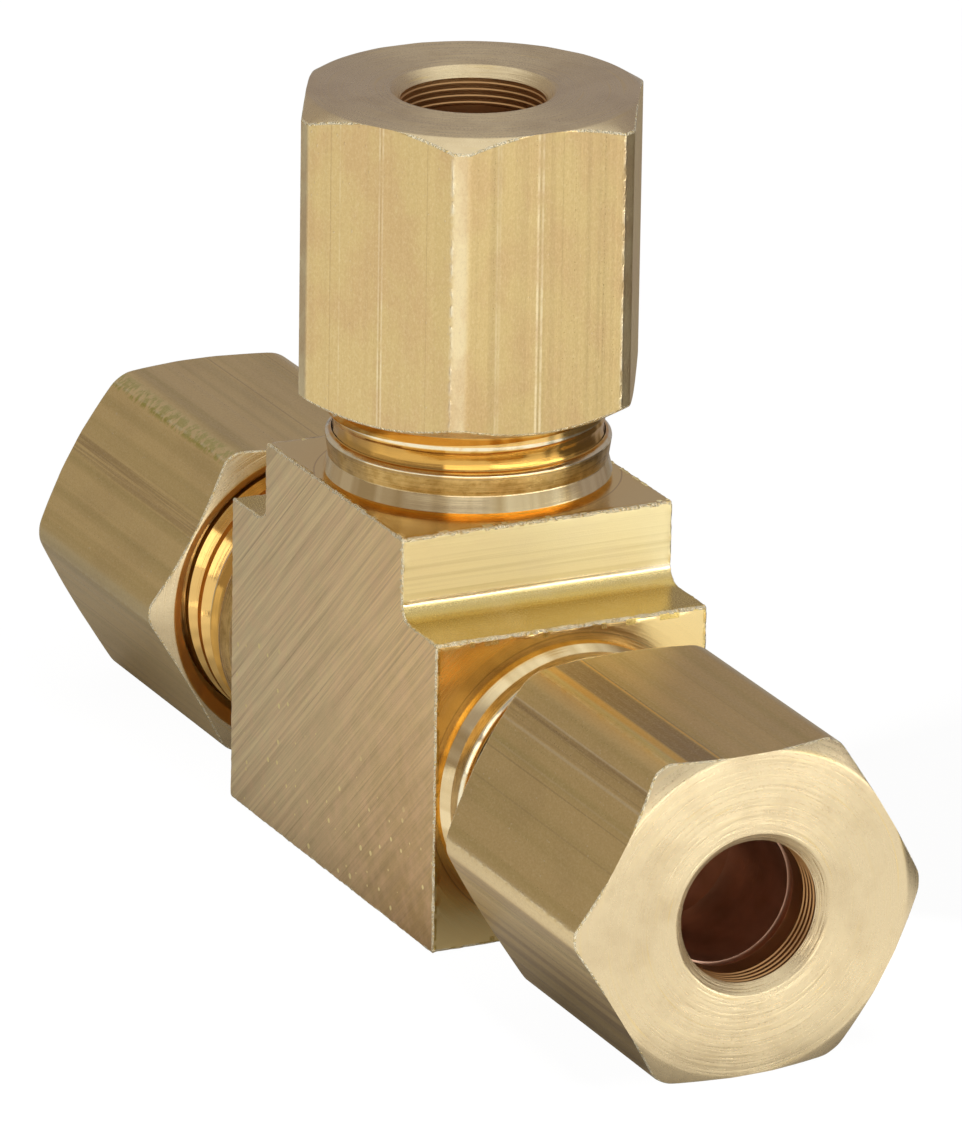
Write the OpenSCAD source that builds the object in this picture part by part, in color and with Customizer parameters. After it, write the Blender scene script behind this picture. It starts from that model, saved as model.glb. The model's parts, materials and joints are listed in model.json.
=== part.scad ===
// Compression union tee for 3/16 in tube: a sawn brass block with three equal ports, and on each
// port a hexagon nut that holds a loose sealing sleeve.
//
// The origin is on the surface that the tee rests on, straight below the point where the port
// axes cross. +X is along the run towards the right port, +Z is up along the branch, and Y is
// the direction in which the body's outline was extruded. Lengths are in millimetres.

/* [Body] */
// Width of the body between the two run port faces
run_w = 16.35; // [15.6:0.05:17]
// Width of the raised block under the branch port
block_w = 10.93; // [10.4:0.01:11.4]
// Depth of the body between its two sawn faces
body_d = 10.02; // [9.9:0.01:10.6]
// Height of the port axes' crossing above the resting surface
axis_z = 5.6; // [5.6:0.05:6]
// Distance from the run axis down to the underside
under_h = 5.43; // [5:0.01:5.5]
// Distance from the run axis up to the shoulders beside the block
shoulder_h = 5.49; // [5:0.01:6]
// Distance from the run axis up to the branch port face
branch_h = 8.33; // [8:0.01:9]
// Radius of the fillet between block and shoulder
step_r = 0.6; // [0.3:0.1:1.2]

/* [Ports] */
// Outside diameter of the tube that the fitting takes
tube_d = 4.7625; // [4.7:0.0125:4.8]
// Diametral clearance of the tube in the sockets, sleeves and nuts
tube_gap = 0.0975; // [0.04:0.0025:0.1]
// Diameter of the passage through the body
passage_d = 3.2; // [2.8:0.1:3.6]
// Length of each port from the body's face
port_l = 7.2; // [7:0.1:7.6]
// Diameter of the plain band next to the body
band_d = 9.7; // [9.6:0.01:9.8]
// Half angle of the conical sleeve seat in the port's mouth
seat_angle = 30; // [28:1:35]

/* [Thread] */
// Major diameter of the port thread, 3/8 in
thread_d = 9.525; // [9.4:0.025:9.6]
// Pitch of the thread, 24 to the inch
thread_pitch = 1.0583; // [1.04:0.0001:1.1]
// Diametral clearance between the port's crests and the nut
thread_gap = 0.1; // [0.06:0.02:0.16]

/* [Nuts] */
// Width of each nut across its flats, 7/16 in
nut_flats = 11.1125; // [11:0.0125:11.2]
// Diameter that the rounded corners of the hexagon bar reach
nut_corners = 12.52; // [12.3:0.01:12.6]
// Length of each nut
nut_l = 10.48; // [10.3:0.01:10.7]
// Distance from the body's right face to the right nut at rest
right_out = 3.1; // [2.2:0.05:4]
// Distance from the body's left face to the left nut at rest
left_out = 3.76; // [2.2:0.01:4]
// Distance from the branch face to the branch nut at rest
branch_out = 3.02; // [2.2:0.01:4]
// Angle by which the right nut stands turned at rest
right_turn = 1; // [0:0.5:1]
// Angle by which the branch nut stands turned at rest
branch_turn = 1; // [0:0.5:60]

/* [Sleeves] */
// Length of each sleeve
sleeve_l = 4.2; // [4:0.1:4.4]
// Outside diameter of each sleeve
sleeve_d = 6.5; // [6.3:0.1:6.7]

/* [Hidden] */
$fn = 96;
overlap = 0.01;
tube_r = (tube_d + tube_gap) / 2;

// Port: radii, and distances outwards from the body's face.
band_r = band_d / 2;
neck_root_r = 4.4;
swell_l = 0.45;
band_l = 1.5;
band_chamfer = 0.12;
groove_r = 4.6;
groove_l = 0.25;
mouth_chamfer = 0.2;
socket_stop = 2.2;

// Thread: one ridge of trapezium section winds along each port, and another winds inside each
// nut, midway between the port's turns. The flanks stand at 30 degrees to the radius.
thread_r = thread_d / 2;
thread_root_r = 4.15;
nut_bore_r = thread_r + thread_gap / 2;
nut_crest_r = 4.26;
crest_half = 0.08;
flank_angle = 30;
ridge_sides = 24;
ridge_sink = 0.08;
port_ridge_start = 2.45;
port_ridge_end = 6.6;

// Nut: distances from its inner end, the one nearer the body.
nut_chamfer_l = 0.38;
outer_face_r = 5.62;
inner_face_r = 5.54;
inner_lip_r = 5.5;
inner_lip_foot_r = 5.15;
inner_lip_l = 0.4;
nut_bore_l = 6;
nut_ridge_margin = 0.65;
nut_hole_l = 2;
nut_hole_lip = 0.28;
nut_seat = nut_l - nut_hole_l;
nut_cavity_r = tube_r + nut_seat - nut_bore_l;

// Sleeve: its rear taper fits the nut's 45 degree seat, and its nose the seat in the port.
sleeve_r = sleeve_d / 2;
sleeve_face_r = sleeve_r - 0.5;
sleeve_gap = 0.05;
sleeve_rear = nut_seat - (sleeve_face_r - tube_r) - sleeve_gap;
rear_taper_l = sleeve_r - sleeve_face_r;
nose_taper_l = (sleeve_r - sleeve_face_r) / tan(seat_angle);

// With a nut turned home its inner end is this far from the body's face, and the sleeve's nose
// is just clear of the seat. That places the seat's cone along the port.
nut_home = 2;
nose_home = nut_home + sleeve_rear - sleeve_l;
seat_start = nose_home - sleeve_gap - (sleeve_face_r - tube_r) / tan(seat_angle);
mouth_r = tube_r + (port_l - seat_start) * tan(seat_angle);

brass_sawn = [0.70, 0.56, 0.34];
brass_bar = [0.78, 0.64, 0.38];
brass_turned = [0.76, 0.58, 0.32];

// Each puts a port's own frame, with +Z outwards from the body's face, on one of the ports.
module on_right() { translate([run_w / 2, 0, axis_z]) rotate([0, 90, 0]) children(); }
module on_left() { translate([-run_w / 2, 0, axis_z]) rotate([0, -90, 0]) children(); }
module on_branch() { translate([0, 0, axis_z + branch_h]) children(); }

// A right-handed helical ridge from base_r to crest_r, which may be the smaller, that winds from
// z = start to z = end. Its base is sunk a little into the wall that carries it.
module ridge(base_r, crest_r, start, end) {
    way = crest_r > base_r ? 1 : -1;
    sunk_r = base_r - way * ridge_sink;
    base_half = crest_half + abs(crest_r - sunk_r) * tan(flank_angle);
    section = [[sunk_r, -way * base_half], [crest_r, -way * crest_half],
               [crest_r, way * crest_half], [sunk_r, way * base_half]];
    steps = floor((end - start) / thread_pitch * ridge_sides);
    last = 4 * steps;
    points = [for (i = [0:steps])
                  let (a = 360 * i / ridge_sides, z = start + thread_pitch * i / ridge_sides)
                      for (p = section) [p[0] * cos(a), p[0] * sin(a), z + p[1]]];
    sides = [for (i = [0:steps - 1], k = [0:3])
                 let (a = 4 * i + k, b = 4 * i + (k + 1) % 4)
                     each [[a, b, b + 4], [a, b + 4, a + 4]]];
    polyhedron(points, concat([[3, 2, 1, 0]], sides, [[last, last + 1, last + 2, last + 3]]));
}

// The extruded outline: a block on a wider base, with a fillet in each inner corner.
module body_outline() {
    translate([-run_w / 2, axis_z - under_h]) square([run_w, under_h + shoulder_h]);
    translate([-block_w / 2, axis_z - under_h]) square([block_w, under_h + branch_h]);
    for (side = [-1, 1])
        translate([side * block_w / 2, axis_z + shoulder_h])
            difference() {
                translate([side > 0 ? -overlap : -step_r, -overlap]) square(step_r + overlap);
                translate([side * step_r, step_r]) circle(r = step_r);
            }
}

// Outside of one port: a swelling root, the plain band, the run-out groove and the thread.
module port_outside() {
    swell = [for (a = [22.5:22.5:90])
                 [neck_root_r + (band_r - neck_root_r) * (1 - cos(a)), swell_l * sin(a)]];
    groove_end = band_l + band_chamfer + groove_l;
    rotate_extrude()
        polygon(concat(
            [[0, -1], [neck_root_r, -1], [neck_root_r, 0]], swell,
            [[band_r, band_l], [groove_r, band_l + band_chamfer], [groove_r, groove_end],
             [thread_root_r, groove_end + band_chamfer], [thread_root_r, port_l - mouth_chamfer],
             [thread_root_r - mouth_chamfer, port_l], [0, port_l]]));
    ridge(thread_root_r, thread_r, port_ridge_start, port_ridge_end);
}

// Inside of one port: the passage to the middle, the tube's socket and the conical seat.
module port_inside(passage_r, passage_l) {
    translate([0, 0, -passage_l]) cylinder(r = passage_r, h = passage_l + socket_stop + overlap);
    translate([0, 0, socket_stop]) cylinder(r = tube_r, h = port_l - socket_stop + overlap);
    translate([0, 0, seat_start]) cylinder(r1 = tube_r, r2 = mouth_r, h = port_l - seat_start);
    translate([0, 0, port_l - overlap]) cylinder(r = mouth_r, h = 1);
}

// Body with its three ports, drilled right through along the run and down the branch.
module tee_body() {
    color(brass_sawn)
    difference() {
        union() {
            translate([0, body_d / 2, 0]) rotate([90, 0, 0]) linear_extrude(body_d) body_outline();
            on_right() port_outside();
            on_left() port_outside();
            on_branch() port_outside();
        }
        on_right() port_inside(passage_d / 2, run_w / 2);
        on_left() port_inside(passage_d / 2, run_w / 2);
        on_branch() port_inside(passage_d / 2 - 0.05, branch_h);
    }
}

// One nut in a port's frame, with its inner end at distance out and turned by the angle turn.
module nut(out, turn) {
    phase = port_ridge_start - out + thread_pitch * (turn / 360 + 0.5);
    lowest = inner_lip_l + nut_ridge_margin;
    ridge_start = phase + thread_pitch * ceil((lowest - phase) / thread_pitch);
    color(brass_bar)
    translate([0, 0, out]) rotate([0, 0, turn]) {
        intersection() {
            rotate([0, 0, 30]) cylinder(d = nut_flats / cos(30), h = nut_l, $fn = 6);
            rotate_extrude()
                polygon([[inner_lip_r, 0], [inner_face_r, 0], [nut_corners / 2, nut_chamfer_l],
                         [nut_corners / 2, nut_l - nut_chamfer_l], [outer_face_r, nut_l],
                         [tube_r + nut_hole_lip, nut_l], [tube_r, nut_l - nut_hole_lip],
                         [tube_r, nut_seat], [nut_cavity_r, nut_bore_l], [nut_bore_r, nut_bore_l],
                         [nut_bore_r, inner_lip_l], [inner_lip_foot_r, inner_lip_l]]);
        }
        ridge(nut_bore_r, nut_crest_r, ridge_start, nut_bore_l - nut_ridge_margin);
    }
}

// One sleeve in a port's frame, seated in a nut whose inner end is at distance out.
module sleeve(out) {
    color(brass_turned)
    translate([0, 0, out + sleeve_rear - sleeve_l])
        rotate_extrude()
            polygon([[tube_r, 0], [sleeve_face_r, 0], [sleeve_r, nose_taper_l],
                     [sleeve_r, sleeve_l - rear_taper_l], [sleeve_face_r, sleeve_l],
                     [tube_r, sleeve_l]]);
}

module right_nut() { on_right() nut(right_out, right_turn); }
module left_nut() { on_left() nut(left_out, 0); }
module branch_nut() { on_branch() nut(branch_out, branch_turn); }
module right_sleeve() { on_right() sleeve(right_out); }
module left_sleeve() { on_left() sleeve(left_out); }
module branch_sleeve() { on_branch() sleeve(branch_out); }

tee_body();
right_nut();
left_nut();
branch_nut();
right_sleeve();
left_sleeve();
branch_sleeve();
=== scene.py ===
"""Looks of the brass compression tee: meshes, materials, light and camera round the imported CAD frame.

Meshes are built in millimetres, in the CAD's own frame, and scaled to metres at the end. Each port
has its own frame, with +Z outwards from the body's face and the thread winding up its Z axis.
"""

import json
import math

import bmesh
import bpy
import numpy as np
from mathutils import Matrix, Vector


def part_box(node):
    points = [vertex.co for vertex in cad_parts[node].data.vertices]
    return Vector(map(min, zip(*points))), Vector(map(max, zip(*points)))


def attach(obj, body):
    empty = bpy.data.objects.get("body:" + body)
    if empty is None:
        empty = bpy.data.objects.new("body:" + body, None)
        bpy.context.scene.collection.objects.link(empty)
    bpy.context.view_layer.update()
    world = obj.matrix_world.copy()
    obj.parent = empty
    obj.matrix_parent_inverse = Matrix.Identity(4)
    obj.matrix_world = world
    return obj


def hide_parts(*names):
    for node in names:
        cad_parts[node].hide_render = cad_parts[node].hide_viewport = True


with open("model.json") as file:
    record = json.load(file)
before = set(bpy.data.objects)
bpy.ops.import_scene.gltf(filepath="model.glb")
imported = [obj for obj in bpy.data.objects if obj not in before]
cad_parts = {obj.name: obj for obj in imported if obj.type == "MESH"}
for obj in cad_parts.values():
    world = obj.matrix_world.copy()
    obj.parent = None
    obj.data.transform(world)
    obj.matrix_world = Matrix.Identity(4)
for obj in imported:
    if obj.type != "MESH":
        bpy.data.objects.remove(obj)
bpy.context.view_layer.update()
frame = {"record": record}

MM = 0.001
SEED = 24

# ------------ sizes, in millimetres

PORT_LENGTH = 7.2
BLOCK_HALF = 5.465
SHOULDER_ABOVE_AXIS = 5.49
STEP_RADIUS = 0.6
BAR_CORNER_RADIUS = 0.12
PASSAGE_R = 1.6
BRANCH_PASSAGE_R = 1.55
TUBE_R = 2.43
SOCKET_STOP = 2.2
SEAT_START = 5.306
MOUTH_R = 3.52

SPIGOT_ROOT = 0.6  # how far a spigot reaches into the block
NECK_ROOT_R = 4.62
FLARE_R = 4.88
FLARE_START = 0.17
WAIST_R = 4.75
WAIST_AT = 0.74
BAND_R = 4.85
BAND_LENGTH = 1.53
GROOVE_R = 4.64
GROOVE_HOLLOW = 0.07
GROOVE_END = 2.15
CREST_LINE = 2.34
FACE_RING_R = 5.2

PITCH = 1.0583
THREAD_R = 4.7625
THREAD_ROOT_R = 4.17
THREAD_START = 2.45  # where a port's crest crosses angle 0, from the body's face
CREST_HALF = 0.14
FIRST_CUT = 0.13  # how deep the thread is where it leaves the run-out groove
THREAD_DEEPENS = (2.0, 3.4)  # where it starts to get deeper, and where it is whole
FLANK_SLOPE = math.tan(math.radians(30))
NUT_BORE_R = 4.8125
NUT_CREST_R = 4.28
NUT_CREST_HALF = 0.09
NUT_THREAD_FADE = (0.9, 0.5)  # how long its thread takes to fade in and out

HALF_FLATS = 11.1125 / 2
CORNER_REACH = 6.26
# half the width of the narrow land at each of the hexagon's corners
HALF_LAND = (HALF_FLATS / math.cos(math.pi / 6) - CORNER_REACH) * math.tan(math.pi / 3)
CORNER_CRISPNESS = {"right": 150, "left": 120, "branch": 420}
CHAMFER_LENGTH = 0.4
OUTER_FACE_R = 5.6
INNER_FACE_R = 5.5
INNER_LIP_R = 5.46
INNER_LIP_FOOT_R = 5.06
INNER_LIP_LENGTH = 0.42
INNER_LIP_END = 1.0
NUT_BORE_LENGTH = 6.0
NUT_HOLE_LENGTH = 2.0
NUT_HOLE_LIP = 0.36
FACE_RINGS_R = (3.72, 2.86)
FACE_RING_PITCH = 0.085
FACE_RING_DEPTH = 0.004
TOOL_RING_PITCH = 0.23
TOOL_RING_DEPTH = 0.035
TOOL_RINGS_END = 1.22  # how deep the tool rings go into a nut's hole

SLEEVE_R = 3.25
SLEEVE_FACE_R = 2.75
SLEEVE_LENGTH = 4.2
NOSE_TAPER = 0.87
REAR_TAPER = 0.5

NUT_SOFTNESS = 0.06  # how wide the softened edges are
SPIGOT_SOFTNESS = 0.04
SLEEVE_SOFTNESS = 0.07
SMALLEST_NICK = 0.03
NICK_RANGE = 0.07
BURR_HEIGHT = 0.05
CORNER_WANDER = 0.03
BURR_LENGTH = 0.06  # how far the burrs reach in from a sawn face
OUTLINE_STEP = 0.16
RING_STEP = 0.18

COLUMNS_ON_FLAT = 19
COLUMNS_AT_CORNER = 23

TURN_OF_NUT = {"right": 1.0, "left": 0.0, "branch": 1.0}

# The Z of a surface's place starts at 0 on the body and one step further on for each nut in turn, and
# half a step after its nut for each sleeve, so that a material can tell the pieces apart.
PLACE_STEP = 40


def in_mm(corners):
    """A node's two corners in millimetres."""
    return [Vector(corner) / MM for corner in corners]


tee_low, tee_high = in_mm(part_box("tee_body"))
mount_at = {m["name"]: Vector(m["pos_m"]) / MM for m in frame["record"]["mounts"]}
AXIS_Z = mount_at["right_tube_socket"].z
RUN_HALF = tee_high.x - PORT_LENGTH
BRANCH_FACE = tee_high.z - PORT_LENGTH
UNDERSIDE = tee_low.z
BODY_HALF_DEPTH = tee_high.y
SHOULDER = AXIS_Z + SHOULDER_ABOVE_AXIS

PORT_FRAMES = {
    "right": Matrix.Translation((RUN_HALF, 0, AXIS_Z)) @ Matrix.Rotation(math.radians(90), 4, "Y"),
    "left": Matrix.Translation((-RUN_HALF, 0, AXIS_Z)) @ Matrix.Rotation(math.radians(-90), 4, "Y"),
    "branch": Matrix.Translation((0, 0, BRANCH_FACE)),
}


def span_along_port(node, port):
    """Nearest and furthest distance of a node from the body's face, along its port."""
    to_port = PORT_FRAMES[port].inverted()
    ends = [(to_port @ corner).z for corner in in_mm(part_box(node))]
    return min(ends), max(ends)


# ------------ meshes wound round a port's axis


def nut_place(port):
    """Where a nut's own frame stands in the row frame: out along its port, and turned."""
    out, _ = span_along_port(f"{port}_nut", port)
    return PORT_FRAMES[port] @ Matrix.Translation((0, 0, out)) @ Matrix.Rotation(
        math.radians(TURN_OF_NUT[port]), 4, "Z")


def hex_angles():
    """Angles of a shell's columns: closer together at the hexagon's corners."""
    flat_end = math.pi / 6 - 2.2 * math.atan2(HALF_LAND, CORNER_REACH)
    flat = np.linspace(-flat_end, flat_end, COLUMNS_ON_FLAT)
    corner = np.linspace(flat_end, math.pi / 3 - flat_end, COLUMNS_AT_CORNER)[1:-1]
    sector = np.concatenate([flat, corner])
    return np.concatenate([sector + k * math.pi / 3 for k in range(6)])


ANGLES = hex_angles()


def hex_radius(angles, crispness):
    """Radius of the drawn bar at each angle: flats, joined by narrow lands with softened edges."""
    local = np.abs((angles + math.pi / 6) % (math.pi / 3) - math.pi / 6)
    flat = HALF_FLATS / np.cos(local)
    land = CORNER_REACH / np.cos(local - math.pi / 6)
    return flat * (1 + (flat / land) ** crispness) ** (-1 / crispness)


def profile(*points):
    """A row of profile points, each an array of (radius, z) for every column."""
    return [np.stack(np.broadcast_arrays(r, z, ANGLES), 1)[:, :2].astype(float) for r, z in points]


def soften(rows, width, keep=()):
    """Rounds each inner corner of a profile over about the given width, except those in keep."""
    out = [rows[0]]
    for k in range(1, len(rows) - 1):
        here, back, ahead = rows[k], rows[k - 1] - rows[k], rows[k + 1] - rows[k]
        if k in keep:
            out.append(here)
            continue
        ends = []
        for way in (back, ahead):
            length = np.maximum(np.linalg.norm(way, axis=1), 1e-9)
            ends.append(here + way * (np.minimum(width, 0.4 * length) / length)[:, None])
        out += [ends[0], (ends[0] + 2 * here + ends[1]) / 4, ends[1]]
    return out + [rows[-1]]


def to_mesh(bm, name):
    """A new mesh from a bmesh, which is freed."""
    mesh = bpy.data.meshes.new(name)
    bm.to_mesh(mesh)
    bm.free()
    return mesh


class Shell:
    """Quads wound round the Z axis. Every row has one point for each of ANGLES."""

    def __init__(self):
        self.points, self.faces = [], []

    def add_rows(self, rows):
        """Joins consecutive rows of (radius, z) with quads."""
        n = len(ANGLES)
        first = len(self.points)
        for row in rows:
            self.points += list(zip(row[:, 0] * np.cos(ANGLES), row[:, 0] * np.sin(ANGLES), row[:, 1]))
        for k in range(len(rows) - 1):
            for i in range(n):
                a, b = first + k * n + i, first + k * n + (i + 1) % n
                self.faces.append((a, b, b + n, a + n))

    def add_helix(self, low, high, start, radius, phases):
        """A right-handed helical surface from z = low to high, whose crest crosses angle 0 at start.
        radius(phase, z) gives its radius, and phases are the rows of one turn, in turns."""
        n = len(ANGLES)
        turns = ANGLES / math.tau
        per_turn = len(phases)
        first_turn = math.floor((low - start) / PITCH) - 1
        count = (math.ceil((high - low) / PITCH) + 3) * per_turn
        first = len(self.points)
        for k in range(count):
            rise = first_turn + k // per_turn + phases[k % per_turn]
            z = np.clip(start + PITCH * (turns + rise), low, high)
            r = radius(((z - start) / PITCH - turns) % 1, z)
            self.points += list(zip(r * np.cos(ANGLES), r * np.sin(ANGLES), z))
        for i in range(n):
            over = per_turn if i == n - 1 else 0
            for k in range(count - 1 - over):
                a = first + k * n + i
                b = first + (k + over) * n + (i + 1) % n
                self.faces.append((a, b, b + n, a + n))

    def mesh(self, name):
        """The closed mesh in the shell's own frame, in millimetres."""
        bm = bmesh.new()
        made = [bm.verts.new(p) for p in self.points]
        for face in self.faces:
            bm.faces.new([made[i] for i in face])
        bmesh.ops.remove_doubles(bm, verts=bm.verts, dist=2e-5)
        bmesh.ops.dissolve_degenerate(bm, edges=bm.edges, dist=1e-5)
        bmesh.ops.recalc_face_normals(bm, faces=bm.faces)
        return to_mesh(bm, name)


def thread_phases(crest_half, flank):
    """Rows of one turn of a thread, in turns from the crest's middle, dense at its edges."""
    edge, foot = crest_half / PITCH, (crest_half + flank) / PITCH
    half = [0, edge * 0.85, edge, edge * 1.12, (edge + foot) / 2, foot * 0.94, foot, foot * 1.06, 0.5]
    half = [p for p in half if p <= 0.5]
    return half + [1 - p for p in reversed(half[1:-1])]


def ramp(z, low, high):
    """0 at low and 1 at high, with a smooth start and end."""
    t = np.clip((z - low) / (high - low), 0, 1)
    return t * t * (3 - 2 * t)


def crest_depth(phase, crest_half):
    """How far a 60 degree thread's surface lies off its crest, at a phase in turns."""
    off = np.minimum(phase, 1 - phase) * PITCH - crest_half
    return np.maximum(off / FLANK_SLOPE, 0)


def port_thread(phase, z):
    """Radius of a port's thread, which fades in from the run-out groove and out at the mouth."""
    depth = FIRST_CUT + (THREAD_R - THREAD_ROOT_R - FIRST_CUT) * ramp(z, *THREAD_DEEPENS)
    cut = THREAD_R - np.minimum(crest_depth(phase, CREST_HALF), depth)
    lead_in = THREAD_ROOT_R - 0.1 + (PORT_LENGTH - z)
    across = np.clip((z - BAND_LENGTH) / (GROOVE_END - BAND_LENGTH), 0, 1)
    groove = GROOVE_R - GROOVE_HOLLOW * np.sin(math.pi * across) + np.maximum(0, z - GROOVE_END) * 1.2
    return np.minimum(np.minimum(cut, lead_in), groove)


def spigot_shell():
    """A port's outside and its tube socket, closed at the bottom of the socket."""
    shell = Shell()
    outside = profile(
        (0, -SPIGOT_ROOT), (NECK_ROOT_R, -SPIGOT_ROOT), (NECK_ROOT_R, 0), (NECK_ROOT_R + 0.03, 0.06),
        (NECK_ROOT_R + 0.1, 0.12), (FLARE_R, FLARE_START), (FLARE_R, FLARE_START + 0.04),
        (WAIST_R + 0.01, WAIST_AT - 0.06), (WAIST_R, WAIST_AT), (WAIST_R + 0.01, WAIST_AT + 0.06),
        (BAND_R, BAND_LENGTH - 0.12), (BAND_R - 0.01, BAND_LENGTH - 0.07), (BAND_R - 0.09, BAND_LENGTH),
        (GROOVE_R + 0.02, BAND_LENGTH + 0.04), (GROOVE_R, BAND_LENGTH + 0.08))
    shell.add_rows(outside)
    end = PORT_LENGTH - 0.05
    phases = thread_phases(CREST_HALF, (THREAD_R - THREAD_ROOT_R) * FLANK_SLOPE)
    shell.add_helix(BAND_LENGTH + 0.08, end, THREAD_START, port_thread, phases)
    rim = port_thread(((end - THREAD_START) / PITCH - ANGLES / math.tau) % 1, np.full(len(ANGLES), end))
    inside = profile((rim, end), (rim - 0.05, PORT_LENGTH), (MOUTH_R, PORT_LENGTH),
                     (TUBE_R, SEAT_START), (TUBE_R, SOCKET_STOP), (0, SOCKET_STOP))
    shell.add_rows(soften(inside, SPIGOT_SOFTNESS, keep=(1,)))
    return shell


def hole_rings(length):
    """Profile points of the tool rings in a nut's hole, from its outer end inwards."""
    rings = []
    for depth in np.arange(NUT_HOLE_LIP + 0.03, TOOL_RINGS_END - 0.05, TOOL_RING_PITCH):
        z = length - depth
        rings += [(TUBE_R + TOOL_RING_DEPTH, z), (TUBE_R + TOOL_RING_DEPTH, z - 0.1),
                  (TUBE_R, z - 0.14), (TUBE_R, z - 0.2)]
    last = length - TOOL_RINGS_END
    return rings + [(TUBE_R - 0.03, last), (TUBE_R - 0.03, last - 0.05), (TUBE_R + 0.02, last - 0.1)]


def nut_shell(out, turn, length, crispness):
    """A nut in its own frame: hexagon outside, tube hole, 45 degree seat and helical thread.
    The thread meets its port's when the nut is out from the body's face and turned by that much."""
    bar = hex_radius(ANGLES, crispness)
    slope = CHAMFER_LENGTH / (CORNER_REACH - OUTER_FACE_R)
    outer_edge = np.minimum(bar, OUTER_FACE_R)
    inner_edge = np.minimum(bar, INNER_FACE_R)
    outer_cut = length - (bar - outer_edge) * slope
    inner_cut = (bar - inner_edge) * slope
    hole_end = length - NUT_HOLE_LENGTH
    cavity_r = TUBE_R + hole_end - NUT_BORE_LENGTH
    radii = np.arange(*FACE_RINGS_R, -FACE_RING_PITCH)
    on_face = [(r, length - FACE_RING_DEPTH * (k % 2)) for k, r in enumerate(radii)]
    in_hole = hole_rings(length)
    start = THREAD_START - out + PITCH * (turn / 360 + 0.5)
    low, high = INNER_LIP_END, NUT_BORE_LENGTH - 0.05

    def thread(phase, z):
        """Radius of the nut's thread, which fades in and out at its ends."""
        fade = ramp(z, low, low + NUT_THREAD_FADE[0]) * ramp(z, high, high - NUT_THREAD_FADE[1])
        depth = np.minimum(crest_depth(phase, NUT_CREST_HALF), NUT_BORE_R - NUT_CREST_R)
        return NUT_BORE_R - (NUT_BORE_R - NUT_CREST_R - depth) * fade

    before = [(NUT_BORE_R, low), (INNER_LIP_FOOT_R - 0.03, INNER_LIP_LENGTH + 0.03),
              (INNER_LIP_FOOT_R, INNER_LIP_LENGTH), (INNER_LIP_R, 0), (inner_edge, 0), (bar, inner_cut),
              (bar, outer_cut), (outer_edge, length)]
    lip = [(TUBE_R + NUT_HOLE_LIP, length), (TUBE_R, length - NUT_HOLE_LIP)]
    after = [(TUBE_R, hole_end), (cavity_r, NUT_BORE_LENGTH), (NUT_BORE_R, NUT_BORE_LENGTH),
             (NUT_BORE_R, high)]
    hole_from = len(before) + len(on_face) + len(lip)
    rings = [*range(len(before), hole_from - len(lip)), *range(hole_from, hole_from + len(in_hole))]
    shell = Shell()
    section = profile(*before, *on_face, *lip, *in_hole, *after)
    shell.add_rows(soften(section, NUT_SOFTNESS, keep=[1, *rings]))
    phases = thread_phases(NUT_CREST_HALF, (NUT_BORE_R - NUT_CREST_R) * FLANK_SLOPE)
    shell.add_helix(low, high, start, thread, phases)
    return shell


def sleeve_shell():
    """A sleeve from its nose at z = 0: a short tube with a long nose taper and a steep rear one."""
    shell = Shell()
    section = profile((TUBE_R, 1), (TUBE_R, 0), (SLEEVE_FACE_R, 0), (SLEEVE_R, NOSE_TAPER),
                      (SLEEVE_R, SLEEVE_LENGTH - REAR_TAPER), (SLEEVE_FACE_R, SLEEVE_LENGTH),
                      (TUBE_R, SLEEVE_LENGTH), (TUBE_R, 1))
    shell.add_rows(soften(section, SLEEVE_SOFTNESS))
    return shell


# ------------ the body's block


def rounded_outline(corners, step):
    """Points round a square-cornered outline of (x, z, radius) corners, about step apart.
    Returns the points and, for each, whether it is on a convex corner's arc."""
    points, on_corner = [], []
    count = len(corners)
    for k, (x, z, radius) in enumerate(corners):
        here = np.array((x, z))
        back = np.array(corners[k - 1][:2]) - here
        ahead = np.array(corners[(k + 1) % count][:2]) - here
        u, v = back / np.linalg.norm(back), ahead / np.linalg.norm(ahead)
        convex = radius < STEP_RADIUS
        middle = here + (u + v) * radius
        arc = np.linspace(0, math.pi / 2, 5 if convex else 13)
        points += [middle - radius * (v * math.cos(a) + u * math.sin(a)) for a in arc]
        on_corner += [convex] * len(arc)
        next_radius = corners[(k + 1) % count][2]
        reach = np.linalg.norm(ahead) - radius - next_radius
        cuts = max(1, round(reach / step))
        points += [here + v * (radius + reach * i / cuts) for i in range(1, cuts)]
        on_corner += [False] * (cuts - 1)
    return np.array(points), np.array(on_corner)


def outward_normals(points):
    """Unit normals of a closed outline whose points run anticlockwise."""
    tangent = np.roll(points, -1, 0) - np.roll(points, 1, 0)
    normal = np.stack([tangent[:, 1], -tangent[:, 0]], 1)
    return normal / np.linalg.norm(normal, axis=1)[:, None]


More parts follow.
